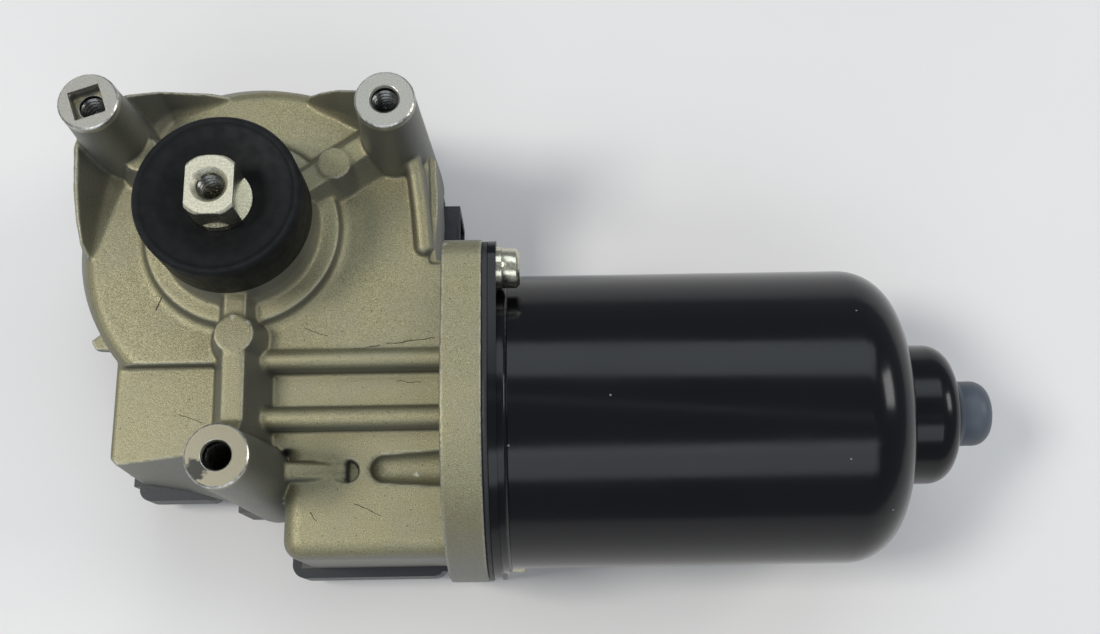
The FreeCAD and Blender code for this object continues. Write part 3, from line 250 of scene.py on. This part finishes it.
def cast_aluminium():
    """Blasted die casting: fine grain, soft clouds, pits, a painted reflection that turns steep walls
    blue-grey and leaves upward faces olive, painted shade in creases, edges brightened as wear and painted
    highlight, and hairs.
    """
    f = Finish("cast_aluminium")
    where = f.place()
    sway = f.node("TexNoise", {"Vector": where, "Scale": 0.5}).outputs["Color"]
    wavy = f.node("VectorMath", {0: where, 1: sway}, operation="ADD").outputs[0]
    grain = f.noise(0.21, 2.0, place=where)
    coarse = f.noise(0.62, 2.0, place=where)
    cloud = f.noise(15, 3.0, place=where)
    pits = f.node("TexVoronoi", {"Vector": where, "Scale": 0.55}).outputs["Distance"]
    colour = f.mix(f.fit(grain, 0.34, 0.66), (0.240, 0.220, 0.126), (0.430, 0.395, 0.243))
    colour = f.mix(f.fit(cloud, 0.35, 0.65, 0.0, 0.5), colour, (0.303, 0.288, 0.207))
    colour = f.mix(f.fit(pits, 0.05, 0.12, 0.75, 0.0), colour, (0.10, 0.095, 0.08))
    surface = f.node("NewGeometry")
    facing_up = f.node("SeparateXYZ", {0: surface.outputs["Normal"]}).outputs[2]
    # Painted reflection: steep walls are mixed towards blue-grey and upward faces keep the olive, standing in
    # for the bluish horizon and the warm light from above.
    colour = f.mix(f.fit(facing_up, 0.25, 0.85, 0.72, 0.0, smooth=True), colour, (0.205, 0.218, 0.228))
    bent = surface.outputs["Pointiness"]
    # Painted shade: hollows and creases, where pointiness is low, are darkened towards near black.
    colour = f.mix(f.fit(bent, 0.425, 0.492, 0.72, 0.0), colour, (0.075, 0.07, 0.055))
    # Convex edges on upward faces are brightened: partly real wear, partly a painted highlight along the
    # edges.
    worn_and_lit_edges = f.math("MULTIPLY", f.fit(bent, 0.518, 0.565, 0, 0.8), f.fit(coarse, 0.35, 0.6, 0.35, 1.0))
    worn_and_lit_edges = f.math("MULTIPLY", worn_and_lit_edges, f.fit(facing_up, 0.15, 0.4))
    colour = f.mix(worn_and_lit_edges, colour, (0.70, 0.68, 0.60))
    hairs = scratches(f, DECK_MARKS, wavy)
    colour = f.mix(f.math("MULTIPLY", hairs, 0.85), colour, (0.04, 0.036, 0.03))
    height = f.math("ADD", grain, f.math("MULTIPLY", coarse, 0.5))
    height = f.math("SUBTRACT", height, f.math("MULTIPLY", hairs, 0.8))
    return f.finish(colour=colour, metal=0.95, rough=f.fit(grain, 0.3, 0.7, 0.60, 0.46),
                    normal=f.bump(height, 0.07))


def machined_aluminium():
    """Faced ends of the posts: fine grain, browner on the lower one, which has a dark stain."""
    f = Finish("machined_aluminium")
    where = f.place()
    fine = f.noise(0.3, 4.0, place=where)
    colour = f.mix(f.fit(fine, 0.35, 0.65), (0.36, 0.345, 0.30), (0.50, 0.485, 0.43))
    x, y = (value / MM for value in POSTS[2])
    to_post = f.node("VectorMath", {0: where, 1: (x, y, 0)}, operation="DISTANCE").outputs[1]
    colour = f.mix(f.fit(to_post, 7.0, 9.0, 0.75, 0.0), colour, (0.24, 0.215, 0.135))
    to_stain = f.node("VectorMath", {0: where, 1: (x - 3.6, y - 2.7, 0)}, operation="DISTANCE").outputs[1]
    ragged = f.math("ADD", to_stain, f.math("MULTIPLY", f.noise(1.3, 4.0, place=where), 4.0))
    colour = f.mix(f.fit(ragged, 3.6, 4.4, 0.92, 0.0), colour, (0.035, 0.035, 0.035))
    return f.finish(colour=colour, metal=0.85, rough=f.fit(fine, 0.35, 0.65, 0.38, 0.52),
                    normal=f.bump(fine, 0.03))


def zinc_steel():
    """Yellowish zinc plating: glossy on turned walls, scuffed on the shaft's end."""
    f = Finish("zinc_steel")
    where = f.place()
    scuff = f.noise(0.4, 4.0, place=where)
    height_mm = f.node("SeparateXYZ", {0: where}).outputs[2]
    end = f.fit(height_mm, SHAFT_TOP - 1.0, SHAFT_TOP - 0.2)
    colour = f.mix(f.fit(scuff, 0.35, 0.65), (0.50, 0.475, 0.36), (0.72, 0.695, 0.56))
    rough = f.math("ADD", f.fit(scuff, 0.3, 0.7, 0.16, 0.28), f.math("MULTIPLY", end, 0.27))
    depth = f.math("MULTIPLY", scuff, f.math("ADD", f.math("MULTIPLY", end, 0.8), 0.2))
    return f.finish(colour=colour, metal=0.95, rough=rough, normal=f.bump(depth, 0.03))


def plain(name, low, high, size, metal, rough, depth, specular=0.5):
    """A finish with grain of that size in millimetres: colour, roughness and height vary together."""
    f = Finish(name)
    grain = f.noise(size)
    colour = f.mix(f.fit(grain, 0.3, 0.7), low, high)
    return f.finish(colour=colour, metal=metal, rough=f.fit(grain, 0.3, 0.7, rough + 0.06, rough - 0.06),
                    normal=f.bump(grain, depth), specular=specular)


def black_paint():
    """Gloss paint with a little dust on it, greyer and bluer towards the tip."""
    f = Finish("black_paint")
    where = f.place()
    peel = f.noise(2.2, 2.0, place=where)
    dust = f.node("TexVoronoi", {"Vector": where, "Scale": 0.16}).outputs["Distance"]
    film = f.noise(30, 4.0, place=where)
    colour = f.mix(f.fit(dust, 0.022, 0.04, 1, 0), (0.0035, 0.0035, 0.0045), (0.22, 0.22, 0.23))
    along = f.node("SeparateXYZ", {0: where}).outputs[0]
    ragged = f.math("ADD", along, f.math("MULTIPLY", film, 1.5))
    # Towards the tip the paint is mixed towards blue-grey and made rougher.
    tip_grey = f.fit(ragged, TIP_END - 8.2, TIP_END - 6.0)
    colour = f.mix(tip_grey, colour, (0.085, 0.098, 0.120))
    rough = f.math("ADD", f.fit(film, 0.3, 0.7, 0.13, 0.20), f.math("MULTIPLY", tip_grey, 0.25))
    return f.finish(colour=colour, metal=0.0, rough=rough, specular=0.32,
                    normal=f.bump(peel, 0.006))


def material_for(slot):
    makers = {
        "cast_aluminium": cast_aluminium,
        "black_paint": black_paint,
        "black_rubber": lambda: plain(slot, (0.010, 0.010, 0.011), (0.018, 0.018, 0.019), 0.6, 0, 0.5, 0.02),
        "cap_rubber": lambda: plain(slot, (0.004, 0.0045, 0.005), (0.008, 0.0085, 0.009), 2.5, 0, 0.62,
                                    0.006, 0.2),
        "zinc_steel": zinc_steel,
        "bright_steel": lambda: plain(slot, (0.55, 0.55, 0.54), (0.66, 0.66, 0.65), 0.4, 1.0, 0.22, 0.01),
        "bronze": lambda: plain(slot, (0.40, 0.24, 0.10), (0.52, 0.33, 0.16), 0.4, 0.9, 0.42, 0.03),
        "brass": lambda: plain(slot, (0.60, 0.45, 0.18), (0.70, 0.54, 0.25), 0.4, 1.0, 0.25, 0.01),
        "copper": lambda: plain(slot, (0.55, 0.22, 0.10), (0.66, 0.30, 0.15), 0.5, 0.95, 0.3, 0.02),
        "lamination_iron": lambda: plain(slot, (0.20, 0.19, 0.18), (0.30, 0.29, 0.28), 0.5, 0.85, 0.45, 0.03),
        "ferrite": lambda: plain(slot, (0.035, 0.035, 0.037), (0.055, 0.055, 0.057), 0.3, 0, 0.6, 0.03),
        "carbon": lambda: plain(slot, (0.02, 0.02, 0.021), (0.035, 0.035, 0.036), 0.3, 0.2, 0.5, 0.03),
        "white_plastic": lambda: plain(slot, (0.72, 0.71, 0.66), (0.78, 0.77, 0.73), 1.2, 0, 0.4, 0.01),
        "brown_plastic": lambda: plain(slot, (0.10, 0.045, 0.02), (0.14, 0.065, 0.03), 0.8, 0, 0.45, 0.02),
        "black_plastic": lambda: plain(slot, (0.012, 0.014, 0.018), (0.020, 0.023, 0.030), 0.5, 0, 0.42,
                                       0.02),
        "gasket_paper": lambda: plain(slot, (0.10, 0.095, 0.085), (0.16, 0.15, 0.13), 0.5, 0, 0.8, 0.04),
        "blue_coating": lambda: plain(slot, (0.02, 0.08, 0.30), (0.03, 0.11, 0.38), 0.6, 0, 0.3, 0.01),
    }
    return makers[slot]()


def paper():
    f = Finish("paper")
    cloud = f.noise(220, 3.0)
    tooth = f.noise(0.7, 2.0)
    colour = f.mix(f.fit(cloud, 0.35, 0.65), (0.800, 0.775, 0.755), (0.825, 0.80, 0.78))
    return f.finish(colour=colour, rough=0.6, normal=f.bump(tooth, 0.02))


def add_floor():
    mesh = bpy.data.meshes.new("floor")
    corners = [(-FLOOR_HALF, -FLOOR_HALF, REST), (FLOOR_HALF, -FLOOR_HALF, REST),
               (FLOOR_HALF, FLOOR_HALF, REST), (-FLOOR_HALF, FLOOR_HALF, REST)]
    mesh.from_pydata(corners, [], [(0, 1, 2, 3)])
    floor = bpy.data.objects.new("floor", mesh)
    scene.collection.objects.link(floor)
    mesh.materials.append(paper())


# ---------------------------------------------------------------- pieces
def new_piece(name, mesh, body, slot_name, *materials):
    piece = bpy.data.objects.new(name, mesh)
    scene.collection.objects.link(piece)
    for material in materials:
        mesh.materials.append(material)
    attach(piece, body)
    return piece


def settled(mesh, *modifiers):
    """The mesh with modifiers applied, each given as (kind, settings)."""
    carrier = bpy.data.objects.new("carrier", mesh)
    scene.collection.objects.link(carrier)
    for kind, settings in modifiers:
        modifier = carrier.modifiers.new(kind, kind)
        for key, value in settings.items():
            setattr(modifier, key, value)
    graph = bpy.context.evaluated_depsgraph_get()
    made = bpy.data.meshes.new_from_object(carrier.evaluated_get(graph))
    bpy.data.objects.remove(carrier)
    return made


def welded(node):
    """A closed copy of a CAD node's mesh."""
    shape = bmesh.new()
    shape.from_mesh(nodes[node].data)
    bmesh.ops.remove_doubles(shape, verts=shape.verts, dist=WELD_GAP)
    mesh = bpy.data.meshes.new(node)
    shape.to_mesh(mesh)
    shape.free()
    return mesh


def on_circle(centre, radius, angle, height):
    """Point round an upright axis; radius and height are in millimetres, the centre in metres."""
    return (centre[0] + radius * MM * math.cos(angle), centre[1] + radius * MM * math.sin(angle), height * MM)


def ring_mesh(profile, kinds, centre):
    """Ring turned round an upright axis from a closed profile of (radius, height) in millimetres.

    kinds gives the material index of each step of the profile.
    """
    count = len(profile)
    points = []
    for side in range(RING_SIDES):
        angle = 2 * math.pi * side / RING_SIDES
        for radius, height in profile:
            points.append(on_circle(centre, radius, angle, height))
    faces = []
    for side in range(RING_SIDES):
        after = (side + 1) % RING_SIDES
        for step in range(count):
            following = (step + 1) % count
            faces.append((side * count + step, after * count + step, after * count + following,
                          side * count + following))
    mesh = bpy.data.meshes.new("ring")
    mesh.from_pydata(points, [], faces)
    mesh.polygons.foreach_set("use_smooth", [True] * len(faces))
    mesh.polygons.foreach_set("material_index", list(kinds) * RING_SIDES)
    return mesh


def thread_mesh(centre, crest_r, top, bottom):
    """Thread ridge that winds down a hole, with a narrow crest that looks inwards."""
    steps = int((top - bottom) / THREAD_PITCH * TURN_STEPS)
    section = ((THREAD_ROOT_R, THREAD_FOOT), (crest_r, THREAD_CREST), (crest_r, -THREAD_CREST),
               (THREAD_ROOT_R, -THREAD_FOOT))
    points = []
    for step in range(steps + 1):
        angle = -2 * math.pi * step / TURN_STEPS
        height = top - THREAD_PITCH * step / TURN_STEPS
        for radius, rise in section:
            points.append(on_circle(centre, radius, angle, height + rise))
    faces = [(0, 1, 2, 3), tuple(steps * 4 + corner for corner in (3, 2, 1, 0))]
    for step in range(steps):
        for corner in range(4):
            after = (corner + 1) % 4
            faces.append((step * 4 + corner, step * 4 + 4 + corner, step * 4 + 4 + after, step * 4 + after))
    mesh = bpy.data.meshes.new("turns")
    mesh.from_pydata(points, [], faces)
    mesh.polygons.foreach_set("material_index", [FLANK, FLANK] + [FLANK, CREST, FLANK, FLANK] * steps)
    return mesh


def joined(name, meshes):
    """One mesh made of several."""
    shape = bmesh.new()
    for mesh in meshes:
        shape.from_mesh(mesh)
    bmesh.ops.recalc_face_normals(shape, faces=shape.faces)
    made = bpy.data.meshes.new(name)
    shape.to_mesh(made)
    shape.free()
    return made


def key_cutter():
    """Block in the shape of the square recess of the left post."""
    shape = bmesh.new()
    bmesh.ops.create_cube(shape, size=1)
    low, high = KEY_SPAN
    bmesh.ops.scale(shape, vec=Vector((KEY_SIDE, KEY_SIDE, high - low)) * MM, verts=shape.verts)
    bmesh.ops.translate(shape, vec=Vector((*KEY_OFFSET, (low + high) / 2)) * MM, verts=shape.verts)
    bmesh.ops.rotate(shape, matrix=Matrix.Rotation(math.radians(KEY_TURN), 3, "Z"), verts=shape.verts)
    bmesh.ops.translate(shape, vec=(*POSTS[0], 0), verts=shape.verts)
    mesh = bpy.data.meshes.new("key")
    shape.to_mesh(mesh)
    shape.free()
    cutter = bpy.data.objects.new("key", mesh)
    scene.collection.objects.link(cutter)
    return cutter


def add_post_faces():
    """Faced ends of the posts with their bores, and the thread turns of the posts and the shaft."""
    rings = []
    kinds = (FACE, RIM, RIM, FACE, RIM, FACE, BORE, BORE, BORE, BORE, FACE)
    for post, mouth in zip(POSTS, POST_MOUTHS):
        profile = [(POST_R, -CAP_DEPTH), (POST_R, -0.45), (POST_R - 0.12, -0.2), (POST_R - 0.40, 0.0),
                   (mouth + 0.1, 0.0), (mouth, -0.05), (BORE_R + 0.06, -0.5), (BORE_R, -0.65),
                   (BORE_R, -BORE_DEPTH), (SLEEVE_R, -BORE_DEPTH), (SLEEVE_R, -CAP_DEPTH)]
        rings.append(ring_mesh(profile, kinds, post))
    cutter = key_cutter()
    cut = {"object": cutter, "operation": "DIFFERENCE", "solver": "EXACT"}
    rings[0] = settled(rings[0], ("BOOLEAN", cut))
    bpy.data.objects.remove(cutter)
    mesh = joined("post_faces", rings)
    mesh.set_sharp_from_angle(angle=SHARP_ANGLE)
    # Painted shade: near-black metal for the bore walls and thread flanks, standing in for the shade down the
    # holes.
    thread_shade = plain("thread_painted_shade", (0.10, 0.10, 0.095), (0.20, 0.20, 0.19), 0.3, 1.0, 0.26, 0.01)
    # Painted highlight: a brighter metal on the thread crests, standing in for their glints.
    crest = plain("thread_crest_painted_highlight", (0.62, 0.62, 0.60), (0.86, 0.86, 0.84), 0.3, 1.0, 0.14, 0.01)
    rim = plain("rubbed_rim", (0.26, 0.25, 0.21), (0.78, 0.77, 0.72), 0.8, 1.0, 0.33, 0.08)
    new_piece("post_faces", mesh, "root", "cast_aluminium", machined_aluminium(), rim, thread_shade)
    turns = [thread_mesh(post, crest_r, top, POST_TURNS_END)
             for post, (crest_r, top) in zip(POSTS, POST_TURNS)]
    new_piece("post_threads", joined("post_threads", turns), "root", "cast_aluminium", crest, thread_shade)
    turns = [thread_mesh(SHAFT_XY, *SHAFT_TURNS, SHAFT_TURNS_END)]
    new_piece("shaft_thread", joined("shaft_thread", turns), "output", "zinc_steel",
              finishes["zinc_steel"], thread_shade)


def add_housing():
    """The casting again with every edge rounded, as a die casting's are, under the posts' faced ends."""
    mesh = welded("gear_housing")
    for point in mesh.vertices:
        point.co.z = min(point.co.z, HOUSING_TOP * MM)
    remesh = ("REMESH", {"mode": "VOXEL", "voxel_size": VOXEL * MM, "use_smooth_shade": True})
    soften = ("SMOOTH", {"factor": 0.5, "iterations": 2})
    mesh = settled(mesh, remesh, soften)
    piece = new_piece("housing_casting", mesh, "root", "cast_aluminium", finishes["cast_aluminium"])
    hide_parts("gear_housing")


def crisp_edges():
    """Small rounds on the edges of the machined and moulded CAD pieces."""
    for node, width in EDGE_ROUNDS.items():
        piece = nodes[node]
        weld = piece.modifiers.new("weld", "WELD")
        weld.merge_threshold = WELD_GAP
        bevel = piece.modifiers.new("rounds", "BEVEL")
        bevel.width = width * MM
        bevel.segments = 2
        bevel.limit_method = "ANGLE"
        bevel.angle_limit = ROUND_ANGLE
        bevel.harden_normals = True


# ---------------------------------------------------------------- making the scene
add_camera()
add_world()
add_floor()
for lamp in LAMPS:
    add_area(*lamp)

finishes = {}
for part in frame["record"]["subparts"]:
    name = part["material_slot"]
    if name not in finishes:
        finishes[name] = material_for(name)
    mesh = nodes[part["node"]].data
    mesh.materials.clear()
    mesh.materials.append(finishes[name])

add_housing()
add_post_faces()
crisp_edges()
